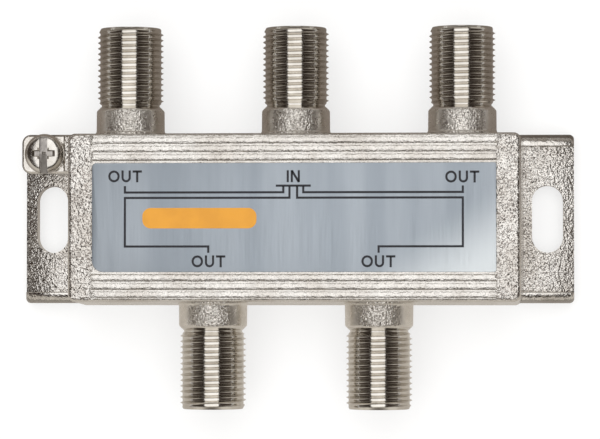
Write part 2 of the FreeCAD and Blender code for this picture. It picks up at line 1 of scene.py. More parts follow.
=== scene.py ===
"""Four-way coaxial splitter lying on its back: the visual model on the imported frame.

Each sub-assembly is a class that holds its sizes in millimetres, builds its meshes and gives them a finish.
X runs along the splitter, Y along the ports and Z out of its front.
"""

import logging
import math
from collections.abc import Iterable, Iterator, Sequence
from contextlib import contextmanager
from dataclasses import dataclass, field
from enum import Enum
from typing import ClassVar

import bmesh
import bpy
import numpy as np
from mathutils import Matrix


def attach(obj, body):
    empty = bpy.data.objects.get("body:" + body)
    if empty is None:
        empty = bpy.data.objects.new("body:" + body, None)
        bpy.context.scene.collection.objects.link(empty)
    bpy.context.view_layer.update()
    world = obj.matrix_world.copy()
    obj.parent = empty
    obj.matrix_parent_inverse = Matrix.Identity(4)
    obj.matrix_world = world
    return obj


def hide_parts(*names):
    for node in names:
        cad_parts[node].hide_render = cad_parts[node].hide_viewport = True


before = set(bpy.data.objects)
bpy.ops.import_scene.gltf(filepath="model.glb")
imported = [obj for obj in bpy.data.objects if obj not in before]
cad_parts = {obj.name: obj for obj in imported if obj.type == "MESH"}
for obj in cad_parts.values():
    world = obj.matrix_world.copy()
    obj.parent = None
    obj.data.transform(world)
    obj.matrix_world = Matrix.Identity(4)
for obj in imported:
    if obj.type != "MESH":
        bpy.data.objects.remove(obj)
LOG = logging.getLogger("splitter")
MM = 0.001

Mesh = bpy.types.Mesh
Socket = bpy.types.NodeSocket
# rows of X, Y and Z in mm, and the point numbers of each face
Surface = tuple[np.ndarray, np.ndarray]
# a node's inputs by name or index, or in their order
Inputs = dict[str | int, object] | Sequence[object]
# the setting of a range that eases in and out
SMOOTH = {"interpolation_type": "SMOOTHSTEP"}


class Body(Enum):
    """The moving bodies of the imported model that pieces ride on."""

    SPLITTER = "splitter"
    SCREW = "terminal_screw"


def linear(colour: str) -> tuple[float, float, float, float]:
    """Turn an sRGB hex colour into the linear colour that a shader takes.

    Args:
        colour: Six hex digits, such as "c8beb4".

    Returns:
        Red, green, blue and an alpha of 1.
    """
    parts = (int(colour[place : place + 2], 16) / 255 for place in (0, 2, 4))
    return (*(part / 12.92 if part <= 0.04045 else ((part + 0.055) / 1.055) ** 2.4 for part in parts), 1.0)


def add_node(
    tree: bpy.types.NodeTree, kind: str, inputs: Inputs = (), **settings: object
) -> bpy.types.Node:
    """Add one shader node.

    Args:
        tree: The tree that gets the node.
        kind: The node's type without its ShaderNode prefix.
        inputs: Value or source socket of each input, by name or index, or in their order.
        settings: The node's own settings.

    Returns:
        The new node.
    """
    node = tree.nodes.new(f"ShaderNode{kind}")
    for name, value in settings.items():
        setattr(node, name, value)
    for name, value in (inputs if isinstance(inputs, dict) else dict(enumerate(inputs))).items():
        if isinstance(value, Socket):
            tree.links.new(value, node.inputs[name])
        else:
            node.inputs[name].default_value = value
    return node


def over(value: Socket, low: float, high: float, to_low: float = 0.0, to_high: float = 1.0) -> Inputs:
    """Inputs that carry a value from one range to another."""
    return {"Value": value, "From Min": low, "From Max": high, "To Min": to_low, "To Max": to_high}


class ShaderKit:
    """A material's tree, with the few things that every finish needs."""

    def __init__(self, name: str) -> None:
        """Start an empty principled material.

        Args:
            name: The material's name.
        """
        self.material = bpy.data.materials.new(name)
        self.material.use_nodes = True
        self.tree = self.material.node_tree
        self.shader = self.tree.nodes["Principled BSDF"]
        self.coords = add_node(self.tree, "TexCoord").outputs["Object"]

    def add(self, kind: str, inputs: Inputs = (), output: int | str = 0, **settings: object) -> Socket:
        """Add a node as add_node does and give one of its outputs, by name or index."""
        return add_node(self.tree, kind, inputs, **settings).outputs[output]

    def grains(
        self, size: float, detail: float = 3.0, stretch: Sequence[float] = (1, 1, 1), seed: float = 0.0
    ) -> Socket:
        """A random pattern with grains of a real size.

        Args:
            size: Size of one grain in millimetres.
            detail: Octaves of finer noise.
            stretch: How many times longer a grain is along X, Y and Z.
            seed: Shift that keeps two patterns apart, in metres.

        Returns:
            A value round 0.5.
        """
        scale = tuple(1 / part for part in stretch)
        spot = self.add("Mapping", {"Vector": self.coords, "Location": (seed, seed, seed), "Scale": scale})
        inputs = {"Vector": spot, "Scale": 1 / (size * MM), "Detail": detail, "Roughness": 0.55}
        return self.add("TexNoise", inputs, "Fac")

    def feed(self, **inputs: float | Socket | tuple) -> None:
        """Set or link inputs of the principled shader.

        Args:
            inputs: Value or source socket of each input; underscores in a name stand for spaces.
        """
        for name, value in inputs.items():
            socket = self.shader.inputs[name.replace("_", " ")]
            if isinstance(value, Socket):
                self.tree.links.new(value, socket)
            else:
                socket.default_value = value


@dataclass(frozen=True)
class Finish:
    """A surface with one grain: colour that drifts, roughness that varies, and a fine relief.

    Attributes:
        name: Real material and process.
        slot: Material slot that it belongs to; not used.
        colour: Main colour, sRGB hex.
        accent: Colour that it drifts to, sRGB hex.
        metallic: 1 for bare or plated metal.
        roughness: Lowest and highest roughness.
        grain: Size of one grain of the relief, mm.
        depth: Depth of that relief, mm.
        stretch: How many times longer a grain is along X, Y and Z.
        drift: Size of the colour drift, mm.
    """

    name: str
    slot: str
    colour: str
    accent: str
    metallic: float
    roughness: tuple[float, float]
    grain: float
    depth: float
    stretch: tuple[float, float, float] = (1, 1, 1)
    drift: float = 4.0

    def material(self) -> bpy.types.Material:
        """The finish as a material, made once.

        Returns:
            The shared material.
        """
        found = bpy.data.materials.get(self.name)
        if found is None:
            kit = ShaderKit(self.name)
            self.dress(kit)
            found = kit.material
        return found

    def dress(self, kit: ShaderKit) -> None:
        """Fill in the shader.

        Args:
            kit: The material to fill in.
        """
        grain = kit.grains(self.grain, 4.0, self.stretch)
        kit.feed(
            Base_Color=self.drifting(kit),
            Metallic=self.metallic,
            Roughness=kit.add("MapRange", over(grain, 0.3, 0.7, *self.roughness), **SMOOTH),
            Normal=kit.add("Bump", {"Height": grain, "Strength": 1.0, "Distance": self.depth * MM}),
        )

    def drifting(self, kit: ShaderKit) -> Socket:
        """Let the colour drift to its accent in soft clouds.

        Args:
            kit: The material.

        Returns:
            The colour.
        """
        cloud = kit.add("MapRange", over(kit.grains(self.drift, seed=0.013), 0.35, 0.65), **SMOOTH)
        shades = {"Factor": cloud, 6: linear(self.colour), 7: linear(self.accent)}
        return kit.add("Mix", shades, 2, data_type="RGBA")


@dataclass(frozen=True)
class CastNickel(Finish):
    """Nickel over as-cast zinc: sandy sparkle on the flats, long grains on the ribs, calmer walls.

    Attributes:
        sand: Size of the sandy grain on the side bands and ears, mm.
        sand_depth: Depth of that grain, mm.
        band: Distance from the middle to where the sandy bands start, mm.
        pit: Colour of the smallest pits, painted in as shade, sRGB hex.
        calm_depth: Depth of the slow waviness of the whole skin, mm.
        ear_fall: Distance from the middle where the ears' ends begin to fall away, and the fall's length, mm.
        ear_fall_depth: How deep they fall, mm.
        left_fall: How much more the left ear falls.
        rib_back: Distance from the middle where the ear ribs' backs begin to fall away, and its width, mm.
        rib_back_depth: How deep they fall, mm.
    """

    sand: float = 0.4
    sand_depth: float = 0.19
    band: float = 28.72
    pit: str = "7c7067"
    calm_depth: float = 0.03
    ear_fall: tuple[float, float] = (34.9, 5.0)
    ear_fall_depth: float = 0.6
    left_fall: float = 1.8
    rib_back: tuple[float, float] = (10.65, 1.7)
    rib_back_depth: float = 1.32

    def dress(self, kit: ShaderKit) -> None:
        """Fill in the shader; zones come from where a point is and which way the face looks.

        Args:
            kit: The material to fill in.
        """
        place = add_node(kit.tree, "SeparateXYZ", {"Vector": kit.coords}).outputs
        facing = kit.add("SeparateXYZ", {"Vector": kit.add("NewGeometry", output="Normal")}, "Z")
        across = kit.add("Math", (place["X"],), operation="ABSOLUTE")
        beside = kit.add("Math", (place["Y"],), operation="ABSOLUTE")

        # the front ribs take a third of the sand, and its edge towards the bands is ragged
        wander = kit.grains(0.5, 1.0, seed=0.041)
        ragged = kit.add("Math", (wander, 1.4 * MM, across), operation="MULTIPLY_ADD")
        sides = kit.add(
            "MapRange", over(ragged, (self.band + 0.35) * MM, (self.band + 0.75) * MM, 0.3), **SMOOTH
        )
        # edges and walls were smoothed by the tumbling before the plating
        flat = kit.add("MapRange", over(facing, 0.7, 0.92, 0.08), **SMOOTH)
        # the lug is what stands high over the left ear, and an ear's rib is its low outer edge
        left = kit.add("MapRange", over(place["X"], -33.8 * MM, -33.4 * MM, 1, 0), **SMOOTH)
        high = kit.add("MapRange", over(place["Z"], 4.5 * MM, 5.0 * MM), **SMOOTH)
        lug = kit.add("Math", (left, high), operation="MULTIPLY")
        outer = kit.add("MapRange", over(beside, 10.4 * MM, 10.7 * MM), **SMOOTH)
        low = kit.add("MapRange", over(place["Z"], 4.0 * MM, 4.5 * MM, 1, 0), **SMOOTH)
        ear_rib = kit.add("Math", (outer, low), operation="MULTIPLY")
        lug_calm = kit.add("MapRange", over(lug, 0, 1, 0, 0.8), **SMOOTH)
        rib_calm = kit.add("MapRange", over(ear_rib, 0, 1, 0, 0.7), **SMOOTH)
        calmed = kit.add("Math", (lug_calm, rib_calm), operation="MAXIMUM")
        uncalmed = kit.add("Math", (1.0, calmed), operation="SUBTRACT")
        facing_sides = kit.add("Math", (sides, flat), operation="MULTIPLY")
        sandy = kit.add("Math", (facing_sides, uncalmed), operation="MULTIPLY")

        sand = kit.grains(self.sand, 1.0)
        pits = kit.grains(self.sand * 0.5, 1.0, seed=0.021)
        pitted = kit.add("Math", (pits, 0.3, sand), operation="MULTIPLY_ADD")
        sand_height = kit.add("Math", (pitted, sandy), operation="MULTIPLY")
        long_grain = kit.grains(self.grain, 4.0, self.stretch, seed=0.007)
        share = kit.add("MapRange", over(sides, 0.3, 1, 1, 0.15), **SMOOTH)
        top = kit.add("Math", (long_grain, share), operation="MULTIPLY")
        calm = kit.grains(1.1, seed=0.017)
        relief = {"Height": self.fallen(kit, calm, lug, ear_rib), "Strength": 1.0}
        normal = kit.add("Bump", {**relief, "Distance": self.calm_depth * MM})
        for height, depth in ((top, self.depth), (sand_height, self.sand_depth)):
            relief = {"Height": height, "Strength": 1.0, "Distance": depth * MM, "Normal": normal}
            normal = kit.add("Bump", relief)

        # the smallest pits of the sand are painted darker: painted shade in the hollows
        deepest = kit.add("MapRange", over(pits, 0.5, 0.62, 0, 0.62), **SMOOTH)
        pit_shade_share = kit.add("Math", (deepest, sandy), operation="MULTIPLY")
        shades = {"Factor": pit_shade_share, 6: self.drifting(kit), 7: linear(self.pit)}
        dull = kit.add("MapRange", over(calm, 0.3, 0.7, *self.roughness), **SMOOTH)
        ribs_dull = kit.add("MapRange", over(sides, 0.3, 1, 0.07, 0), **SMOOTH)
        kit.feed(
            Base_Color=kit.add("Mix", shades, 2, data_type="RGBA"),
            Metallic=self.metallic,
            Roughness=kit.add("Math", (dull, ribs_dull), operation="ADD"),
            Normal=normal,
        )

    def fallen(
        self,
        kit: ShaderKit,
        calm: Socket,
        lug: Socket,
        ear_rib: Socket,
    ) -> Socket:
        """Let the ears' ends and their ribs' backs fall away, so that the softbox's edge crosses them.

        Each fall grows with the square of the distance past its start, as a parabola.

        Args:
            kit: The material.
            calm: The slow waviness that the falls are taken from.
            lug: 1 on the ground lug, which stays level.
            ear_rib: 1 on the ears' edge ribs.

        Returns:
            The relief, in units of the waviness's depth.
        """
        place = add_node(kit.tree, "SeparateXYZ", {"Vector": kit.coords}).outputs
        falls = []
        for axis, (start, length) in (("X", self.ear_fall), ("Y", self.rib_back)):
            away = kit.add("Math", (place[axis],), operation="ABSOLUTE")
            line = (away, 1 / (length * MM), -start / length)
            past = kit.add("Math", line, operation="MULTIPLY_ADD", use_clamp=True)
            falls.append(kit.add("Math", (past, past), operation="MULTIPLY"))
        beyond = kit.add("Math", (1.0, lug), operation="SUBTRACT")
        level = kit.add("Math", (falls[0], beyond), operation="MULTIPLY")
        side = kit.add("MapRange", over(place["X"], -MM, MM, self.left_fall, 1.0), **SMOOTH)
        end = kit.add("Math", (level, side), operation="MULTIPLY")
        back = kit.add("Math", (falls[1], ear_rib), operation="MULTIPLY")
        relief = calm
        for fall, depth in ((end, self.ear_fall_depth), (back, self.rib_back_depth)):
            relief = kit.add("Math", (fall, -depth / self.calm_depth, relief), operation="MULTIPLY_ADD")
        return relief


@dataclass(frozen=True)
class FoilLabel(Finish):
    """Brushed aluminium foil under a clear blue-grey lacquer, with streaks across the label and a painted
    highlight towards its lower right corner.
    """

    def dress(self, kit: ShaderKit) -> None:
        """Fill in the shader; the foil is painted lighter towards its lower right corner, as a painted
        highlight.

        Args:
            kit: The material to fill in.
        """
        place = add_node(kit.tree, "SeparateXYZ", {"Vector": kit.coords}).outputs
        highlight_slant = kit.add("Math", (place["Y"], -1.6, place["X"]), operation="MULTIPLY_ADD")
        streak = kit.grains(self.grain, 3.0, self.stretch)
        broad = kit.grains(5.0, 2.0, (1, 14, 1), seed=0.031)
        colour = linear(self.colour)
        # a painted highlight that grows from the upper left to the lower right, then the broad streaks, then
        # the pale corner, the strongest part of that painted highlight
        steps = (
            (over(highlight_slant, -36 * MM, 36 * MM), self.accent),
            (over(broad, 0.35, 0.7, 0, 0.14), "dfe4ea"),
            (over(highlight_slant, 20 * MM, 41 * MM, 0, 0.85), "e8eef0"),
        )
        for reach, tone in steps:
            shades = {"Factor": kit.add("MapRange", reach, **SMOOTH), 6: colour, 7: linear(tone)}
            colour = kit.add("Mix", shades, 2, data_type="RGBA")
        kit.feed(
            Base_Color=colour,
            Metallic=self.metallic,
            Roughness=kit.add("MapRange", over(streak, 0.3, 0.7, *self.roughness), **SMOOTH),
            Normal=kit.add("Bump", {"Height": streak, "Strength": 1.0, "Distance": self.depth * MM}),
            Coat_Weight=0.25,
            Coat_Roughness=0.12,
        )


# die-cast zinc under bright nickel: warm silver with a sandy sparkle that breaks up every reflection
CASTING = CastNickel(
    "nickel_plated_zinc_die_casting", "nickel_plated_casting", "e4e1dc", "d3cec7", 1.0, (0.14, 0.24), 0.22,
    0.06, (3.2, 1, 1), 7.0,
)
# the same skin on the round collars, sandy all over and a little duller
COLLAR = CastNickel(
    "nickel_plated_zinc_cast_collar", "nickel_plated_casting", "eeeae3", "ddd8d0", 1.0, (0.24, 0.36), 0.22,
    0.03, (1, 1, 1), 5.0, sand=0.34, sand_depth=0.2, band=-1.0,
)
# cut on a lathe before the plating: near-mirror flanks with faint turning lines round the port
TURNED = Finish(
    "nickel_plated_zinc_turned", "nickel_plated_casting", "dedad3", "cec9c1", 1.0, (0.08, 0.16), 0.3, 0.0012,
    (1, 0.25, 1), 3.0,
)
# brushed foil under lacquer: soft blue-grey sheen with upright streaks, drawn coarser than the real brushing;
# its accent is a painted highlight towards the lower right
FOIL = FoilLabel(
    "lacquered_aluminium_foil", "foil_label", "8b939b", "949ca4", 0.9, (0.3, 0.42), 0.12, 0.0012, (1, 60, 1)
)
# printed inks: flat colour with a dull skin
NAVY_INK = Finish("screen_printed_navy_ink", "foil_label", "08080f", "0d0d18", 0.0, (0.35, 0.5), 0.08, 0.0015)
ORANGE_INK = Finish(
    "screen_printed_orange_ink", "foil_label", "d2911c", "ca8a18", 0.0, (0.35, 0.5), 0.08, 0.0015
)
# cold-headed steel under nickel: brighter and smoother than the casting
SCREW_PLATE = Finish(
    "nickel_plated_cold_headed_steel", "nickel_plated_steel", "e0dcd6", "c9c4bd", 1.0, (0.12, 0.26), 0.5,
    0.008,
)
# the recess that the punch left: dull, and painted greyer as painted shade so that it reads as a hollow
SHADED_RECESS = Finish(
    "nickel_plated_punched_recess", "nickel_plated_steel", "c4bfb9", "a5a09c", 1.0, (0.32, 0.5), 0.3, 0.03
)
# rolled sheet with bright tin: cool grey with long rolling lines
TINNED_SHEET = Finish(
    "tinned_rolled_steel_sheet", "tinned_sheet", "c9cbca", "b4b7b8", 1.0, (0.22, 0.38), 0.2, 0.003,
    (18, 1, 1), 9.0,
)
# woven glass in epoxy: green with a faint weave
LAMINATE = Finish(
    "glass_epoxy_laminate", "board_laminate", "3f6b3c", "35592f", 0.0, (0.35, 0.5), 0.35, 0.01, (1.6, 1, 1)
)
# moulded polyethylene: milky and softly shining
INSULATOR = Finish(
    "moulded_white_polyethylene", "insulator_plastic", "ece8dc", "e2ddcf", 0.0, (0.38, 0.5), 0.25, 0.004
)
# drawn brass with tin: pale yellow-grey with fine lines along the sleeve
BRASS = Finish(
    "tinned_drawn_brass", "tinned_brass", "d3cfbe", "c2bba3", 1.0, (0.18, 0.3), 0.1, 0.002, (1, 12, 1)
)
# sintered oxide: near-black and matt
FERRITE = Finish("sintered_ferrite", "ferrite", "2e2d2f", "3a383a", 0.0, (0.5, 0.72), 0.12, 0.02)
# copper under clear enamel: dark red-brown gloss
WIRE = Finish("enamelled_copper_wire", "enamelled_wire", "9a4a22", "82391a", 0.6, (0.2, 0.32), 0.15, 0.006)
# glazed chip parts: black glass and tan ceramic
CHIP_BODY = Finish("glazed_resistor_film", "chip_body", "1d1e21", "2a2b2e", 0.0, (0.28, 0.4), 0.1, 0.004)
CERAMIC = Finish("fired_capacitor_ceramic", "chip_ceramic", "a88e6d", "977c5b", 0.0, (0.4, 0.55), 0.08, 0.006)


@contextmanager
def reworked(mesh: Mesh) -> Iterator[bmesh.types.BMesh]:
    """Open a mesh for operations on its points and edges, and store it at the end.

    Args:
        mesh: The mesh, which is changed.

    Yields:
        The open mesh.
    """
    work = bmesh.new()
    work.from_mesh(mesh)
    yield work
    work.to_mesh(mesh)
    work.free()


def mesh_from(
    name: str, points: np.ndarray, faces: Iterable[Sequence[int]], weld: float = 0.0
) -> Mesh:
    """Make a mesh from points in millimetres.

    Args:
        name: The mesh's name.
        points: Rows of X, Y and Z in mm.
        faces: Point numbers of each face.
        weld: Points nearer than this are joined, in mm; 0 joins none.

    Returns:
        The mesh, in metres.
    """
    mesh = bpy.data.meshes.new(name)
    mesh.from_pydata(np.asarray(points, float) * MM, [], [list(map(int, face)) for face in faces])
    if weld:
        with reworked(mesh) as work:
            bmesh.ops.remove_doubles(work, verts=work.verts, dist=weld * MM)
            bmesh.ops.dissolve_degenerate(work, edges=work.edges, dist=weld * MM)
    mesh.validate()
    return mesh


def smooth(mesh: Mesh, angle: float) -> None:
    """Shade a mesh smooth, with edges over an angle in degrees kept sharp."""
    mesh.shade_smooth()
    mesh.set_sharp_from_angle(angle=math.radians(angle))


def grid_faces(rows: int, columns: int, closed: bool = True) -> np.ndarray:
    """Faces of a grid of points stored row by row.

    Args:
        rows: Number of rows.
        columns: Points in a row.
        closed: Whether each row's end joins its start.

    Returns:
        Four point numbers for each face, facing to the left of a row's direction as the rows rise.
    """
    last = columns if closed else columns - 1
    row, column = np.meshgrid(np.arange(rows - 1), np.arange(last), indexing="ij")
    after = (column + 1) % columns
    low, high = row * columns, (row + 1) * columns
    return np.stack((low + column, low + after, high + after, high + column), axis=-1).reshape(-1, 4)


def spun(profile: Sequence[Sequence[float]], columns: int) -> Surface:
    """Turn a profile about the local third axis.

    A point is its radius times the cosine and the sine of its turn, at its height.

    Args:
        profile: Radius and height of each point, outer side going up.
        columns: Points round the axis.

    Returns:
        Points with the height last, and faces that look outwards.
    """
    radius, height = np.asarray(profile, float).T
    turn = np.linspace(0, 2 * math.pi, columns, endpoint=False)
    points = np.stack(
        (
            radius[:, None] * np.cos(turn),
            radius[:, None] * np.sin(turn),
            np.broadcast_to(height[:, None], (len(height), columns)),
        ),
        axis=-1,
    )
    return points.reshape(-1, 3), grid_faces(len(height), columns)


@dataclass(frozen=True)
class Thread:
    """A right-handed external thread with sloped ends.

    One turn of its profile is PLACE, from 0 to 1 along the pitch, and RELIEF, from 0 in the groove to 1 on
    the crest. FOOT_SLOPE is how steeply it rises from its neck, and RIM_LAND the length at its end, in mm,
    where no groove is deeper than the rim.

    Attributes:
        crest: Radius over the crests, mm.
        root: Radius in the groove, mm.
        pitch: Crest to crest, mm.
        start: Height where the thread leaves its neck, mm.
        end: Height of the rim, mm.
        neck: Radius of the neck, mm.
        rim: Radius of the rim, mm.
        lead_in: Length of the chamfer at the rim, mm.
        columns: Points round the axis.
    """

    crest: float
    root: float
    pitch: float
    start: float
    end: float
    neck: float
    rim: float
    lead_in: float
    columns: int

    PLACE: ClassVar[tuple[float, ...]] = (
        0.0, 0.14, 0.22, 0.28, 0.34, 0.40, 0.45, 0.485, 0.515, 0.55, 0.60, 0.66, 0.72, 0.78, 0.86,
    )
    RELIEF: ClassVar[tuple[float, ...]] = (
        0.0, 0.01, 0.05, 0.16, 0.36, 0.62, 0.88, 1.0, 1.0, 0.88, 0.62, 0.36, 0.16, 0.05, 0.01,
    )
    FOOT_SLOPE: ClassVar[float] = 1.1
    RIM_LAND: ClassVar[float] = 0.45

    def surface(self) -> Surface:
        """The threaded surface, as a grid whose rows follow the helix.

        A row's height is its place in the turn plus one pitch for each full turn, held between start and end.
        The radius is the groove's profile, cut by one cone at each end, and never under the rim's land.

        Returns:
            Points with the height last, and faces that look outwards.
        """
        place, relief = np.array(self.PLACE), np.array(self.RELIEF)
        each = len(place)
        turns = math.ceil((self.end - self.start) / self.pitch) + 2
        row = np.arange(turns * each + 1)
        turn = np.linspace(0, 2 * math.pi, self.columns, endpoint=False)
        height = self.start + (row // each + place[row % each] - 1)[:, None] * self.pitch
        height = np.clip(height + self.pitch * turn / (2 * math.pi), self.start, self.end)
        profile = self.root + (self.crest - self.root) * relief[row % each]
        radius = np.broadcast_to(profile[:, None], height.shape)
        tip = self.crest + (self.rim - self.crest) * (height - self.end + self.lead_in) / self.lead_in
        foot = self.neck + self.FOOT_SLOPE * (height - self.start)
        land = np.where(height > self.end - self.RIM_LAND, self.rim, self.neck)
        radius = np.maximum(np.minimum(np.minimum(radius, tip), foot), land)
        points = np.stack((radius * np.cos(turn), radius * np.sin(turn), height), axis=-1)

        faces = grid_faces(len(row), self.columns, closed=False)
        # the last column joins the first one a full turn further up
        low = np.arange(len(row) - 1 - each)
        last, first = self.columns - 1, 0
        seam = np.stack(
            (
                low * self.columns + last,
                (low + each) * self.columns + first,
                (low + each + 1) * self.columns + first,
                (low + 1) * self.columns + last,
            ),
            axis=-1,
        )
        return points.reshape(-1, 3), np.concatenate((faces, seam))


def joined(*parts: Surface) -> Surface:
    """Put several surfaces into one list of points and faces.

    Args:
        parts: Points and faces of each surface.

    Returns:
        All points, and the faces with their numbers moved on.
    """
    points, faces, count = [], [], 0
    for some_points, some_faces in parts:
        points.append(some_points)
        faces.append(np.asarray(some_faces) + count)
        count += len(some_points)
    return np.concatenate(points), np.concatenate(faces)


def cut_block(low: Sequence[float], high: Sequence[float], bottom: float, top: float) -> Mesh:
    """A closed six-sided cut whose bottom and top are rectangles of their own, in mm.

    Args:
        low: Smallest and largest X, then smallest and largest Y, at the bottom.
        high: The same at the top.
        bottom: Height of the bottom.
        top: Height of the top.

    Returns:
        The cut's mesh.
    """
    points = [(x, y, z) for side, z in ((low, bottom), (high, top)) for y in side[2:] for x in side[:2]]
    faces = ((0, 2, 3, 1), (4, 5, 7, 6), (0, 1, 5, 4), (2, 6, 7, 3), (0, 4, 6, 2), (1, 3, 7, 5))
    return mesh_from("cut", np.array(points), faces)


def cut_away(mesh: Mesh, cuts: Iterable[Mesh]) -> Mesh:
    """Take the cuts' volumes out of a closed mesh.

    Args:
        mesh: The mesh to cut.
        cuts: Closed meshes to take away, one after another.

    Returns:
        A new mesh.
    """
    scene = bpy.context.scene.collection
    body = bpy.data.objects.new("cut_body", mesh)
    scene.objects.link(body)
    tools = []
    for cut in cuts:
        tool = bpy.data.objects.new("cut_tool", cut)
        scene.objects.link(tool)
        tools.append(tool)
        modifier = body.modifiers.new("cut", "BOOLEAN")
        modifier.object = tool
        modifier.operation = "DIFFERENCE"
        modifier.solver = "EXACT"
    graph = bpy.context.evaluated_depsgraph_get()
    result = bpy.data.meshes.new_from_object(body.evaluated_get(graph), depsgraph=graph)
    for item in (body, *tools):
        bpy.data.objects.remove(item)
    return result


def face_middles(mesh: Mesh) -> np.ndarray:
    """Middles of a mesh's faces.

    Args:
        mesh: The mesh.

    Returns:
        X, Y and Z of each face's middle, mm.
    """
    middles = np.empty(3 * len(mesh.polygons), np.float32)
    mesh.polygons.foreach_get("center", middles)
    return middles.reshape(-1, 3) / MM


def refinish(mesh: Mesh, finish: Finish, chosen: np.ndarray) -> None:
    """Give some faces of a shown piece a second finish.

    Args:
        mesh: The piece's mesh.
        finish: The second finish.
        chosen: True for each face that takes it.
    """
    mesh.materials.append(finish.material())
    mesh.polygons.foreach_set("material_index", chosen.astype(np.int32))
    LOG.info("%s: %d faces in %s", mesh.name, int(chosen.sum()), finish.name)


def show(
    name: str, mesh: Mesh, finish: Finish, body: Body, nodes: Sequence[str] = ()
) -> bpy.types.Object:
    """Put a finished piece into the scene.

    Args:
        name: The piece's name.
        mesh: Its mesh, in place in the row frame.
        finish: What it is made of.
        body: The body that it moves with.
        nodes: The CAD nodes that it stands for.

    Returns:
        The piece.
    """
    piece = bpy.data.objects.new(name, mesh)
    bpy.context.scene.collection.objects.link(piece)
    mesh.materials.clear()
    mesh.materials.append(finish.material())
    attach(piece, body.value)
    if nodes:
        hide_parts(*nodes)
    LOG.info("%s: %d faces, %s", name, len(mesh.polygons), finish.name)
    return piece


@dataclass
class DieCastBody:
    """The casting without its ports: box, ribs, ears and ground lug.

    Attributes:
        cut_plane: Distance from the middle where the ports are cut off, mm.
        reach: How far the volumes that are cut off reach from the middle, mm.
        cut_heights: Bottom and top of those volumes, mm.
        sharp: Edges over this angle stay sharp, degrees.
        level: Triangles that bend less than this are joined, degrees.
    """

    cut_plane: float = 12.45
    reach: float = 45.0
    cut_heights: tuple[float, float] = (-1.0, 30.0)
    sharp: float = 28.0
    level: float = 0.6

    def build(self) -> None:
        """Copy the casting's mesh, weld it, cut its plain ports off and shade it."""
        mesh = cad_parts["housing"].data.copy()
        with reworked(mesh) as work:
            bmesh.ops.remove_doubles(work, verts=work.verts, dist=0.0005 * MM)
        self.flatten(mesh)
        sides = ((self.cut_plane, self.reach), (-self.reach, -self.cut_plane))
        outlines = [(-self.reach, self.reach, *side) for side in sides]
        mesh = cut_away(mesh, [cut_block(outline, outline, *self.cut_heights) for outline in outlines])
        mesh.name = "die_cast_body"
        self.flatten(mesh)
        smooth(mesh, self.sharp)
        piece = show("die_cast_body", mesh, CASTING, Body.SPLITTER, ("housing",))
        settle = piece.modifiers.new("even_shading", "WEIGHTED_NORMAL")
        settle.keep_sharp = True

    def flatten(self, mesh: Mesh) -> None:
        """Join triangles that lie in one plane, so that a large flat outweighs the roundings beside it.

        Args:
            mesh: The mesh, which is changed.
        """
        bend = math.radians(self.level)
        with reworked(mesh) as work:
            bmesh.ops.dissolve_limit(work, angle_limit=bend, verts=work.verts, edges=work.edges)


@dataclass
class Ports:
    """The five threaded ports with their collars.

    Attributes:
        pitch: Port to port along X, mm.
        height: Port axis over the back plane, mm.
        tip: Port tip from the middle, mm.
        thread: The 3/8-32 thread.
        bore: Radius of the bore, mm.
        collar_end: Distance from the middle where the sandy cast collar ends, mm.
        root: Distance from the middle where each port starts, inside the wall, mm.
        sharp: Edges over this angle stay sharp, degrees.
        columns: Points round each port.
    """

    # place along X in pitches, and the side that the port points to
    ROW: ClassVar[dict[str, tuple[float, int]]] = {
        "input_port": (0, 1),
        "output_port_1": (-1, 1),
        "output_port_2": (1, 1),
        "output_port_3": (-0.5, -1),
        "output_port_4": (0.5, -1),
    }

    pitch: float = 23.75
    height: float = 9.4
    tip: float = 27.2
    bore: float = 2.78
    collar_end: float = 15.5
    root: float = 11.7
    sharp: float = 40.0
    columns: int = 96
    thread: Thread = field(init=False)

    def __post_init__(self) -> None:
        """Work out the thread from the tip and the number of columns."""
        self.thread = Thread(
            crest=4.7, root=4.36, pitch=0.79375, start=16.2, end=self.tip - 0.08, neck=4.15, rim=4.3,
            lead_in=0.8, columns=self.columns,
        )

    def shell(self) -> Surface:
        """One port as a closed surface about the local third axis.

        Returns:
            Points in mm with the distance from the splitter's middle last, and outward faces.
        """
        neck, rim = self.thread.neck, self.thread.rim
        # fillet at the wall, drafted collar, rounded shoulder and its slope down to the thread's neck
        collar = (
            (self.bore, self.root), (5.08, self.root), (5.08, 12.14), (5.0, 12.2), (4.94, 12.3), (4.9, 12.42),
            (4.88, 12.6), (4.87, 13.6), (4.86, 14.9), (4.85, 15.2), (4.81, 15.34), (4.72, 15.46),
            (4.3, 15.88), (4.2, 15.96), (neck, 16.04), (neck, self.thread.start),
        )
        # rounded rim, flat tip and the funnel into the bore
        mouth = (
            (rim, self.thread.end), (4.28, self.tip - 0.03), (4.22, self.tip), (3.2, self.tip),
            (3.1, self.tip - 0.05), (2.84, self.tip - 0.32), (self.bore, self.tip - 0.4),
            (self.bore, self.root),
        )
        return joined(spun(collar, self.columns), self.thread.surface(), spun(mouth, self.columns))

    def build(self) -> None:
        """Place one shell for each port, with the lower row turned half round."""
        local, faces = self.shell()
        up, along, out = local.T
        for name, (place, side) in self.ROW.items():
            # the shell's first axis points up and its second along X, so every thread is right-handed
            points = np.stack((place * self.pitch + side * along, side * out, self.height + up), axis=-1)
            mesh = mesh_from(name, points, faces, weld=0.0008)
            smooth(mesh, self.sharp)
            show(name, mesh, TURNED, Body.SPLITTER, ("housing",))
            refinish(mesh, COLLAR, np.abs(face_middles(mesh)[:, 1]) < self.collar_end)


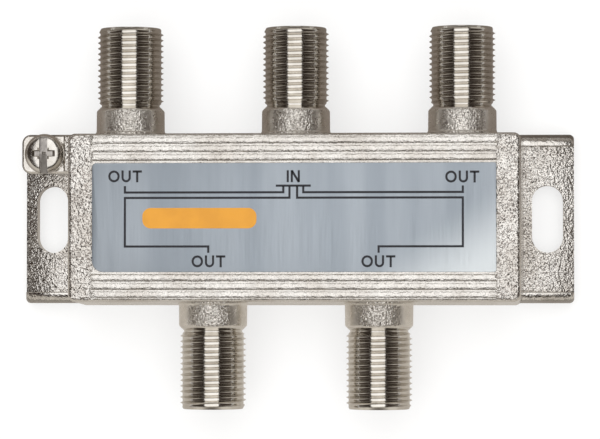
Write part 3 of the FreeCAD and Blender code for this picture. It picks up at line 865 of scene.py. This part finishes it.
@dataclass(frozen=True)
class Recess:
    """A recess sunk into the screw's head, narrower at its bottom.

    Attributes:
        long: Half its length at the top, mm.
        wide: Half its width at the top, mm.
        end_long: Half its length at the bottom, mm.
        end_wide: Half its width at the bottom, mm.
        depth: Its depth, mm.
    """

    long: float
    wide: float
    end_long: float
    end_wide: float
    depth: float

    def cut(self, top: float) -> Mesh:
        """Make the recess's volume, which also reaches a little over the head.

        Args:
            top: Height of the head's top, mm.

        Returns:
            The volume's mesh.
        """
        low = (-self.end_long, self.end_long, -self.end_wide, self.end_wide)
        high = (-self.long, self.long, -self.wide, self.wide)
        return cut_block(low, high, top - self.depth, top + 0.02)


@dataclass
class GroundScrew:
    """Pan-head screw with a straight slot across a cross recess, and its threaded shank.

    Attributes:
        axis: X and Y of the screw, mm.
        seat: Height of the head's underside, mm.
        head: Radius of the head, mm.
        top: Height of the head's top, mm.
        foot: Height of the shank's end, mm.
        shank: Radius over the thread, mm.
        core: Radius in the thread's groove, mm.
        slot: Half the slot's width, mm.
        arms: The cross recess's arms.
        centre: The pyramid in its middle.
        edge: Rounding of the cut edges, mm.
        worn_over: Edges over this angle are rounded, degrees.
        sharp: Edges of the head over this angle stay sharp, degrees.
        sharp_thread: The same for the shank.
        columns: Points round the head.
    """

    axis: tuple[float, float] = (-36.3, 9.35)
    seat: float = 8.1
    head: float = 2.85
    top: float = 10.2
    foot: float = 2.9
    shank: float = 1.5
    core: float = 1.2
    slot: float = 0.575
    arms: Recess = Recess(1.95, 0.52, 1.3, 0.32, 0.4)
    centre: Recess = Recess(0.9, 0.9, 0.05, 0.05, 0.85)
    edge: float = 0.05
    worn_over: float = 38.0
    sharp: float = 32.0
    sharp_thread: float = 45.0
    columns: int = 72

    def build(self) -> None:
        """Make the head and the shank."""
        self.build_head()
        self.build_shank()

    def build_head(self) -> None:
        """Turn the head, cut its recesses, dull them and paint shade into them."""
        # underside, straight side, rounded shoulder and slightly domed top
        profile = (
            (0.0, self.seat), (self.head - 0.12, self.seat), (self.head - 0.03, self.seat + 0.04),
            (self.head, self.seat + 0.12), (self.head, self.seat + 0.72),
            (self.head - 0.06, self.seat + 0.98),
            (self.head - 0.16, self.seat + 1.3), (self.head - 0.32, self.seat + 1.58),
            (self.head - 0.55, self.seat + 1.78), (self.head - 0.8, self.seat + 1.87),
            (self.head - 1.2, self.seat + 1.96), (self.head - 1.7, self.seat + 2.04),
            (self.head - 2.3, self.seat + 2.08), (0.0, self.top),
        )
        outer = profile[3:]
        points, faces = spun(profile, self.columns)
        head = mesh_from("ground_screw_head", points, faces, weld=0.0008)
        head = cut_away(head, [self.slot_cut(), self.arms.cut(self.top), self.centre.cut(self.top)])

        # a face belongs to a recess where it lies clearly under the outer skin
        x, y, z = face_middles(head).T
        away = np.hypot(x, y)
        radius, height = np.array(outer).T
        skin = np.interp(away, radius[::-1], height[::-1])
        sunk = (z < skin - 0.12) & (z > self.seat + 0.05) & (away < self.head - 0.02)
        self.move(head)
        smooth(head, self.sharp)
        piece = show("ground_screw_head", head, SCREW_PLATE, Body.SCREW, ("ground_screw",))
        # the recess faces take a greyer finish: painted shade that makes them read as hollows
        refinish(head, SHADED_RECESS, sunk)
        bevel = piece.modifiers.new("worn_edges", "BEVEL")
        bevel.width = self.edge * MM
        bevel.segments = 2
        bevel.limit_method = "ANGLE"
        bevel.angle_limit = math.radians(self.worn_over)

    def build_shank(self) -> None:
        """Make the threaded shank, with a chamfered end and a stem that runs up into the head."""
        thread = Thread(
            crest=self.shank, root=self.core, pitch=0.5, start=self.foot + 0.1, end=self.seat - 0.05,
            neck=1.15, rim=self.core, lead_in=0.35, columns=32,
        )
        cap = spun(((0.0, self.foot), (0.95, self.foot), (thread.neck, thread.start)), thread.columns)
        inside = self.seat + 0.3
        stem = spun(((self.core, thread.end), (self.core, inside), (0.0, inside)), thread.columns)
        points, faces = joined(cap, thread.surface(), stem)
        shank = mesh_from("ground_screw_shank", points, faces, weld=0.0008)
        self.move(shank)
        smooth(shank, self.sharp_thread)
        show("ground_screw_shank", shank, SCREW_PLATE, Body.SCREW, ("ground_screw",))

    def slot_cut(self) -> Mesh:
        """Make the straight slot's volume.

        It runs out at one side only, and its floor falls away from the middle.

        Returns:
            The volume's mesh.
        """
        # Y, and height over the head's top, of its side's corners
        side = ((-4, 1.0), (2.42, 1.0), (2.42, -1.0), (0, -0.6), (-4, -2.1))
        count = len(side)
        points = np.array([(x, y, self.top + z) for x in (-self.slot, self.slot) for y, z in side])
        faces = [tuple(range(count)), tuple(range(2 * count - 1, count - 1, -1))]
        faces += [
            (place, place + count, (place + 1) % count + count, (place + 1) % count) for place in range(count)
        ]
        return mesh_from("cut", points, faces)

    def move(self, mesh: Mesh) -> None:
        """Move a mesh made about the vertical axis to the screw's place."""
        mesh.transform(Matrix.Translation((self.axis[0] * MM, self.axis[1] * MM, 0)))


class Stroke:
    """Flat printed lines of one width, built up as one surface.

    WIDE holds the widths of the letters and GAP the space between two of them, in mm.
    """

    WIDE: ClassVar[dict[str, float]] = {"N": 1.3, "O": 1.62, "U": 1.32, "T": 1.32}
    GAP: ClassVar[float] = 0.26

    def __init__(self, low: float, high: float, width: float) -> None:
        """Start an empty print.

        Args:
            low: Height of the underside, mm.
            high: Height of the top, mm.
            width: Width of the lines, mm.
        """
        self.low, self.high, self.width = low, high, width
        self.points: list[np.ndarray] = []
        self.faces: list[np.ndarray] = []
        self.count = 0

    def line(self, *places: Sequence[float], width: float | None = None, closed: bool = False) -> None:
        """Add a line through places, with mitred corners.

        Args:
            places: X and Y of each corner, mm.
            width: Width of this line, or the print's own.
            closed: Whether the end joins the start.
        """
        path = np.asarray(places, float)
        half = (width or self.width) / 2
        if closed:
            before, after = path - np.roll(path, 1, 0), np.roll(path, -1, 0) - path
        else:
            steps = np.diff(path, axis=0)
            before, after = np.vstack((steps[:1], steps)), np.vstack((steps, steps[-1:]))
        before /= np.linalg.norm(before, axis=1)[:, None]
        after /= np.linalg.norm(after, axis=1)[:, None]
        left = np.stack((-before[:, 1] - after[:, 1], before[:, 0] + after[:, 0]), axis=1)
        # a mitre's offset grows as the corner gets sharper, up to a limit
        left *= (2 * half / np.maximum((left**2).sum(1), 0.6))[:, None]
        right = path - left
        left = path + left
        corners = ((right, self.low), (left, self.low), (left, self.high), (right, self.high))
        rows = len(path)
        ring = np.stack([np.column_stack((flat, np.full(rows, level))) for flat, level in corners], axis=1)
        if closed:
            ring, rows = np.concatenate((ring, ring[:1])), rows + 1
        self.points.append(ring.reshape(-1, 3))
        faces = grid_faces(rows, 4)[:, ::-1] + self.count
        self.faces.extend(faces.tolist())
        if not closed:
            self.faces.append([self.count + place for place in (0, 1, 2, 3)])
            self.faces.append([self.count + 4 * (rows - 1) + place for place in (3, 2, 1, 0)])
        self.count += 4 * rows

    def word(self, text: str, middle: Sequence[float], height: float) -> None:
        """Add a word in plain upright capitals made of lines.

        Args:
            text: Letters out of I, N, O, U and T.
            middle: X and Y of the word's middle, mm.
            height: Height of the capitals, mm.
        """
        half = self.width / 2
        wide = {"I": self.width, **self.WIDE}
        total = sum(wide[letter] for letter in text) + self.GAP * (len(text) - 1)
        left, foot = middle[0] - total / 2, middle[1] - height / 2
        head = foot + height
        for letter in text:
            right = left + wide[letter]
            centre = (left + right) / 2
            if letter == "I":
                self.line((centre, foot), (centre, head))
            elif letter == "N":
                self.line((left + half, foot), (left + half, head))
                self.line((right - half, foot), (right - half, head))
                self.line((left + half, head - 0.02), (right - half, foot + 0.02))
            elif letter == "T":
                self.line((left, head - half), (right, head - half))
                self.line((centre, foot), (centre, head - half))
            else:
                self.round_letter(left + half, right - half, foot + half, head - half, open_top=letter == "U")
            left = right + self.GAP

    def round_letter(self, left: float, right: float, low: float, high: float, open_top: bool) -> None:
        """Add an O, or a U, with half circles as its ends.

        Args:
            left: Smallest X of the line's middle, mm.
            right: Largest X, mm.
            low: Smallest Y, mm.
            high: Largest Y, mm.
            open_top: Whether it is a U.
        """
        radius = (right - left) / 2
        centre = (left + right) / 2
        turn = np.linspace(math.pi, 2 * math.pi, 13)
        lower = np.column_stack((centre + radius * np.cos(turn), low + radius + radius * np.sin(turn)))
        if open_top:
            path = np.vstack(((left, high + self.width / 2), lower, (right, high + self.width / 2)))
            self.line(*path)
        else:
            upper = np.column_stack((centre - radius * np.cos(turn), high - radius - radius * np.sin(turn)))
            self.line(*np.vstack((lower, upper)), closed=True)

    def mesh(self, name: str) -> Mesh:
        """All the lines as one mesh of that name."""
        return mesh_from(name, np.concatenate(self.points), self.faces)


def rounded_outline(left: float, right: float, low: float, high: float, radii: Sequence[float]) -> np.ndarray:
    """Outline of a rectangle with its own radius at each corner.

    A corner is a quarter circle round a centre that lies one radius inside both sides.

    Args:
        left: Smallest X, mm.
        right: Largest X, mm.
        low: Smallest Y, mm.
        high: Largest Y, mm.
        radii: Radius at the lower left, lower right, upper right and upper left corner.

    Returns:
        X and Y of the points, anticlockwise.
    """
    # corner, the way to its arc's centre, and the angle at which the arc begins
    corners = (
        (left, low, 1, 1, 180), (right, low, -1, 1, 270), (right, high, -1, -1, 0), (left, high, 1, -1, 90),
    )
    path = []
    for (x, y, way_x, way_y, begin), radius in zip(corners, radii):
        turn = np.radians(np.linspace(begin, begin + 90, 9))
        centre = np.array((x + way_x * radius, y + way_y * radius))
        path.append(centre + radius * np.column_stack((np.cos(turn), np.sin(turn))))
    return np.concatenate(path)


def plate(name: str, outline: np.ndarray, low: float, high: float, edge: float) -> Mesh:
    """A flat plate with a softened top edge.

    It is four rings of the outline, one over the other, with the upper two drawn in.

    Args:
        name: The mesh's name.
        outline: X and Y of its outline, anticlockwise, mm.
        low: Height of the underside, mm.
        high: Height of the top, mm.
        edge: Size of the softened edge, mm.

    Returns:
        The mesh.
    """
    middle = (outline.min(0) + outline.max(0)) / 2
    inward = -np.sign(outline - middle) * edge
    # the edge is two facets, with its middle three tenths of the way in
    rings = (
        (outline, low),
        (outline, high - edge),
        (outline + 0.3 * inward, high - 0.3 * edge),
        (outline + inward, high),
    )
    points = np.concatenate([np.column_stack((flat, np.full(len(flat), height))) for flat, height in rings])
    count = len(outline)
    faces = grid_faces(len(rings), count).tolist()
    faces.append(list(range(count - 1, -1, -1)))
    faces.append(list(range((len(rings) - 1) * count, len(rings) * count)))
    return mesh_from(name, points, faces)


@dataclass
class Nameplate:
    """The foil label with its printed line diagram.

    Attributes:
        half_length: Half its length, mm.
        half_width: Half its width, mm.
        low: Floor of the recess, mm.
        top: Top of the print, mm.
        ink: Thickness of the print, mm.
        line: Width of the printed lines, mm.
        letters: Height of the capitals, mm.
        corners: Radius at its lower left, lower right, upper right and upper left corner, mm.
    """

    # X and Y in mm: the bar over the input, then the leads of the right half, which the left half mirrors
    INPUT_BAR: ClassVar[Sequence[tuple[float, float]]] = ((-2.47, 4.47), (2.47, 4.47))
    UPPER_LEAD: ClassVar[Sequence[tuple[float, float]]] = (
        (1.41, 4.4), (1.41, 3.54), (23.87, 3.54), (23.87, 4.45),
    )
    LOWER_LEAD: ClassVar[Sequence[tuple[float, float]]] = (
        (0.54, 4.4), (0.54, 2.77), (23.87, 2.77), (23.87, -4.1), (12.03, -4.1), (12.03, -5.0),
    )
    WORDS: ClassVar[Sequence[tuple[str, float, float]]] = (
        ("IN", 0.0, 5.8),
        ("OUT", -23.85, 5.83),
        ("OUT", 23.8, 5.7),
        ("OUT", -12.0, -6.2),
        ("OUT", 12.0, -6.2),
    )
    # left, right, low and high side of the plain bar, and its corners' radius
    PLAIN_BAR: ClassVar[tuple[float, float, float, float]] = (-21.4, -5.2, -1.55, 1.35)
    BAR_CORNER: ClassVar[float] = 1.2

    half_length: float = 28.58
    half_width: float = 7.705
    low: float = 15.2
    top: float = 15.4
    ink: float = 0.02
    line: float = 0.31
    letters: float = 1.68
    corners: tuple[float, float, float, float] = (1.6, 0.3, 0.3, 0.6)

    def build(self) -> None:
        """Make the foil, the line diagram, the port markings and the plain coloured bar."""
        face = self.top - self.ink
        sunk = face - 0.005
        outline = rounded_outline(
            -self.half_length, self.half_length, -self.half_width, self.half_width, self.corners
        )
        foil = plate("label_foil", outline, self.low, face, 0.05)
        smooth(foil, 50)
        show("label_foil", foil, FOIL, Body.SPLITTER, ("label",))

        ink = Stroke(sunk, self.top, self.line)
        ink.line(*self.INPUT_BAR)
        for side in (-1, 1):
            for lead in (self.UPPER_LEAD, self.LOWER_LEAD):
                ink.line(*((side * x, y) for x, y in lead))
        for word, x, y in self.WORDS:
            ink.word(word, (x, y), self.letters)
        show("label_print", ink.mesh("label_print"), NAVY_INK, Body.SPLITTER, ("label",))

        outline = rounded_outline(*self.PLAIN_BAR, (self.BAR_CORNER,) * 4)
        bar = plate("label_bar", outline, sunk, self.top, 0.01)
        show("label_bar", bar, ORANGE_INK, Body.SPLITTER, ("label",))


class CarriedParts:
    """CAD nodes whose shape is right, each with the finish of what it is made of.

    FINISHES goes by a node's name and ENDINGS by the end of it.
    """

    FINISHES: ClassVar[dict[str, Finish]] = {
        "back_cover": TINNED_SHEET,
        "circuit_board": LAMINATE,
        "ground_washer": SCREW_PLATE,
        "balance_resistors": CHIP_BODY,
        "blocking_capacitors": CERAMIC,
    }
    ENDINGS: ClassVar[dict[str, Finish]] = {
        "_insulator": INSULATOR,
        "_contact": BRASS,
        "_core": FERRITE,
        "_winding": WIRE,
    }

    def build(self) -> None:
        """Give each node its material."""
        for name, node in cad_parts.items():
            finish = self.FINISHES.get(name)
            for ending, candidate in self.ENDINGS.items():
                if name.endswith(ending):
                    finish = candidate
            if finish is None:
                continue
            for slot in node.material_slots:
                slot.material = finish.material()
            LOG.info("%s: %s", name, finish.name)


@dataclass(frozen=True)
class Lamp:
    """A rectangular lamp that looks straight down.

    Attributes:
        name: The lamp's name.
        place: Its middle, in metres.
        size: Its sides along X and Y, in metres.
        power: Its power in watts.
        glossy: Whether it shows in reflections.
    """

    name: str
    place: tuple[float, float, float]
    size: tuple[float, float]
    power: float
    glossy: bool

    def hang(self) -> None:
        """Put the lamp into the scene, out of the camera's sight."""
        data = bpy.data.lights.new(self.name, "AREA")
        data.shape, data.size, data.size_y, data.energy = "RECTANGLE", *self.size, self.power
        lamp = bpy.data.objects.new(self.name, data)
        lamp.location = self.place
        lamp.visible_camera = False
        lamp.visible_glossy = self.glossy
        bpy.context.scene.collection.objects.link(lamp)


@dataclass
class Studio:
    """Pale floor, two lamps overhead, the room that the metal mirrors, and the camera.

    Attributes:
        aim: Point between the ports' axes that the view is worked out from, mm.
        distance: Camera to that point along the view, mm.
        yaw: How far the camera stands to the right, degrees.
        pitch: How far it stands below, degrees.
        lens: Focal length, mm.
        sensor: Width of the sensor, mm.
        picture: Width of the picture, in pixels.
        shift: The aim's place in the picture, in pixels from its middle.
        floor_half: Half the floor's side, mm.
        floor_drop: Floor under the back plane, mm.
        washed: Share of plain white in what the camera sees of the floor.
    """

    # the metal mirrors the softbox, and only matt surfaces take the fill
    LAMPS: ClassVar[tuple[Lamp, ...]] = (
        Lamp("softbox", (-0.02, 0.3, 0.8), (0.8, 1.5), 5.0, True),
        Lamp("fill", (0.0, 0.0, 1.4), (2.4, 2.4), 27.0, False),
    )
    # the room's colour over the sine of the elevation: pale line at the horizon, dark gap, a thin bright
    # strip that draws a line along each thread, and a brown-grey room that darkens upwards
    ROOM: ClassVar[tuple[tuple[float, str], ...]] = (
        (0.0, "ffffff"), (0.03, "ffffff"), (0.045, "5a524c"), (0.1, "5a524c"), (0.115, "ffffff"),
        (0.145, "ffffff"), (0.16, "5f564f"), (0.5, "4b433d"), (0.75, "3d3530"), (1.0, "342d29"),
    )
    CARD: ClassVar[str] = "ddd8d0"

    aim: tuple[float, float, float] = (0.0, 0.0, 9.4)
    distance: float = 450.0
    yaw: float = 3.6
    pitch: float = 1.3
    lens: float = 189.0
    sensor: float = 36.0
    picture: int = 600
    shift: tuple[float, float] = (-4.0, 1.2)
    floor_half: float = 1500.0
    floor_drop: float = 0.05
    washed: float = 0.65

    def build(self) -> None:
        """Make the camera, the floor, the lamps and the world."""
        self.make_camera()
        self.make_floor()
        for lamp in self.LAMPS:
            lamp.hang()
        self.make_world()

    def make_camera(self) -> None:
        """Place the camera so that the aim falls where the photograph has it."""
        yaw, pitch = math.radians(self.yaw), math.radians(self.pitch)
        turn = np.array(((math.cos(yaw), 0, -math.sin(yaw)), (0, 1, 0), (math.sin(yaw), 0, math.cos(yaw))))
        tilt = np.array(
            ((1, 0, 0), (0, math.cos(pitch), math.sin(pitch)), (0, -math.sin(pitch), math.cos(pitch)))
        )
        axes = tilt @ turn
        # one pixel's size at the aim
        pixel = self.distance * self.sensor / (self.lens * self.picture)
        centre = np.array((self.shift[0] * pixel, self.shift[1] * pixel, -self.distance))
        spot = np.array(self.aim) - axes.T @ centre
        data = bpy.data.cameras.new("camera")
        data.lens, data.sensor_width = self.lens, self.sensor
        data.clip_start, data.clip_end = 0.01, 20.0
        camera = bpy.data.objects.new("camera", data)
        camera.matrix_world = Matrix.Translation(spot * MM) @ Matrix(axes.T.tolist()).to_4x4()
        bpy.context.scene.collection.objects.link(camera)
        bpy.context.scene.camera = camera

    def make_floor(self) -> None:
        """Lay a pale matt floor just under the splitter.

        In reflections it glows with a plain warm tone, darker towards the input's side as painted shade.
        """
        half = self.floor_half
        points = [(x * half, y * half, -self.floor_drop) for x, y in ((-1, -1), (1, -1), (1, 1), (-1, 1))]
        floor = bpy.data.objects.new("floor", mesh_from("floor", np.array(points), ((0, 1, 2, 3),)))
        kit = ShaderKit("matt_white_paper_sweep")
        kit.feed(Base_Color=linear("f8f8f7"), Roughness=0.9, Specular_IOR_Level=0.1)
        # for reflections the floor glows as an emission, with painted shade on the input's side
        along = kit.add("SeparateXYZ", {"Vector": kit.coords}, "Y")
        shaded_side = kit.add("MapRange", over(along, -12 * MM, 12 * MM), **SMOOTH)
        shades = {"Factor": shaded_side, 6: linear("cfc9c1"), 7: linear("8c837b")}
        tone = kit.add("Mix", shades, 2, data_type="RGBA")
        reflected_glow = kit.add("Emission", {"Color": tone, "Strength": 1.0})
        # the camera sees the paper partly washed out, so it is white and its shadow is faint
        rays = add_node(kit.tree, "LightPath").outputs
        share = kit.add("Math", (rays["Is Camera Ray"], self.washed), operation="MULTIPLY")
        white = kit.add("Emission", {"Color": linear("ffffff"), "Strength": 1.0})
        sweep = kit.add("MixShader", (share, kit.shader.outputs[0], white))
        mix = kit.add("MixShader", (rays["Is Glossy Ray"], sweep, reflected_glow))
        kit.tree.links.new(mix, kit.tree.nodes["Material Output"].inputs["Surface"])
        floor.data.materials.append(kit.material)
        bpy.context.scene.collection.objects.link(floor)

    def make_world(self) -> None:
        """Make a white backdrop for the camera, and for reflections a brown-grey room with pale cards."""
        world = bpy.data.worlds.new("studio")
        bpy.context.scene.world = world
        world.use_nodes = True
        tree = world.node_tree
        tree.nodes.clear()
        direction = add_node(tree, "TexCoord").outputs["Generated"]
        place = add_node(tree, "SeparateXYZ", {"Vector": direction}).outputs
        ramp = add_node(tree, "ValToRGB", {"Fac": place["Z"]})
        stops = ramp.color_ramp.elements
        for count, (position, colour) in enumerate(self.ROOM):
            # a new ramp comes with two stops
            stop = stops[count] if count < 2 else stops.new(position)
            stop.position, stop.color = position, linear(colour)

        # pale cards low down at both ends of the ports' direction, the far one faint; their soft edges are
        # given in parts of a unit direction
        low = add_node(tree, "MapRange", {"Value": place["Z"], "From Min": 0.62, "From Max": 0.4})
        near = add_node(tree, "MapRange", {"Value": place["Y"], "From Min": -0.12, "From Max": -0.4})
        far_edge = {"Value": place["Y"], "From Min": 0.42, "From Max": 0.72, "To Max": 0.35}
        far = add_node(tree, "MapRange", far_edge)
        either = add_node(tree, "Math", {0: near.outputs[0], 1: far.outputs[0]}, operation="MAXIMUM")
        card = add_node(tree, "Math", {0: low.outputs[0], 1: either.outputs[0]}, operation="MULTIPLY")
        shades = {"Factor": card.outputs[0], 6: ramp.outputs["Color"], 7: linear(self.CARD)}
        tone = add_node(tree, "Mix", shades, data_type="RGBA")
        rays = add_node(tree, "LightPath").outputs
        direct = {0: rays["Is Camera Ray"], 1: rays["Is Transmission Ray"]}
        seen = add_node(tree, "Math", direct, operation="MAXIMUM")
        room = add_node(tree, "Background", {"Color": tone.outputs[2], "Strength": 1.0})
        backdrop = add_node(tree, "Background", {"Color": linear("ffffff"), "Strength": 1.0})
        mix = add_node(tree, "MixShader", {0: seen.outputs[0], 1: room.outputs[0], 2: backdrop.outputs[0]})
        add_node(tree, "OutputWorld", {"Surface": mix.outputs[0]})
        bpy.context.scene.view_settings.view_transform = "Standard"


def main() -> None:
    """Build the splitter's sub-assemblies and the studio."""
    logging.basicConfig(level=logging.INFO, format="%(name)s: %(message)s")
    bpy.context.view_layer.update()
    DieCastBody().build()
    Ports().build()
    GroundScrew().build()
    Nameplate().build()
    CarriedParts().build()
    Studio().build()


if __name__ == "__main__":
    main()
